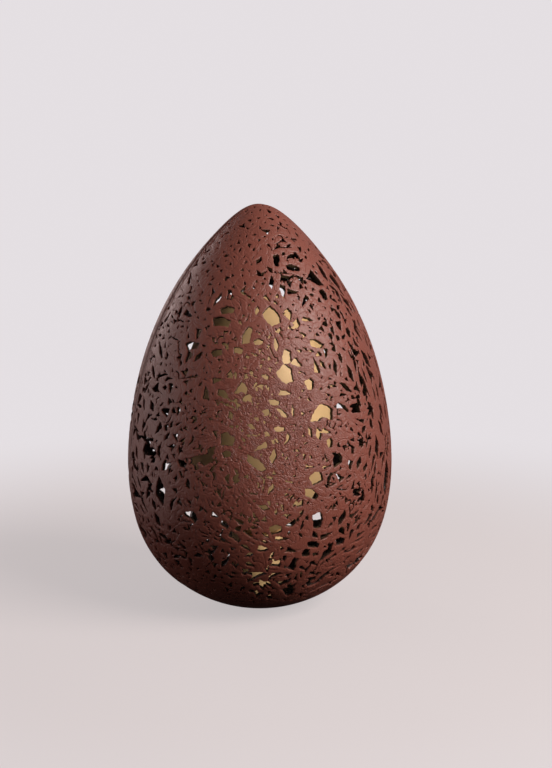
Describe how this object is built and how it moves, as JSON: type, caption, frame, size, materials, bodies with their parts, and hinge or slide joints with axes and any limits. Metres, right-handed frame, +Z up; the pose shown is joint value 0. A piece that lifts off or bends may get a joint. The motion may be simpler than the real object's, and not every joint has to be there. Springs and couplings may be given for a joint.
{
  "type": "chocolate egg",
  "caption": "Tall pierced egg of dark chocolate, piped as lace in an egg mould, standing on a small flat spot, with a gold chocolate egg on a round foot inside.",
  "frame": {"origin": "centre of the flat spot on the blunt end, on the surface it stands on", "axes": "+Z up through the tip, -Y towards the front that is seen"},
  "size_m": [0.196, 0.196, 0.298],
  "materials": {
    "chocolate": "matt, velvet-sprayed dark milk chocolate",
    "gold": "satin gold lustre on chocolate"
  },
  "bodies": {
    "root": {"shell_front": "chocolate", "shell_back": "chocolate", "inner_egg": "gold", "inner_stand": "gold"}
  },
  "joints": []
}
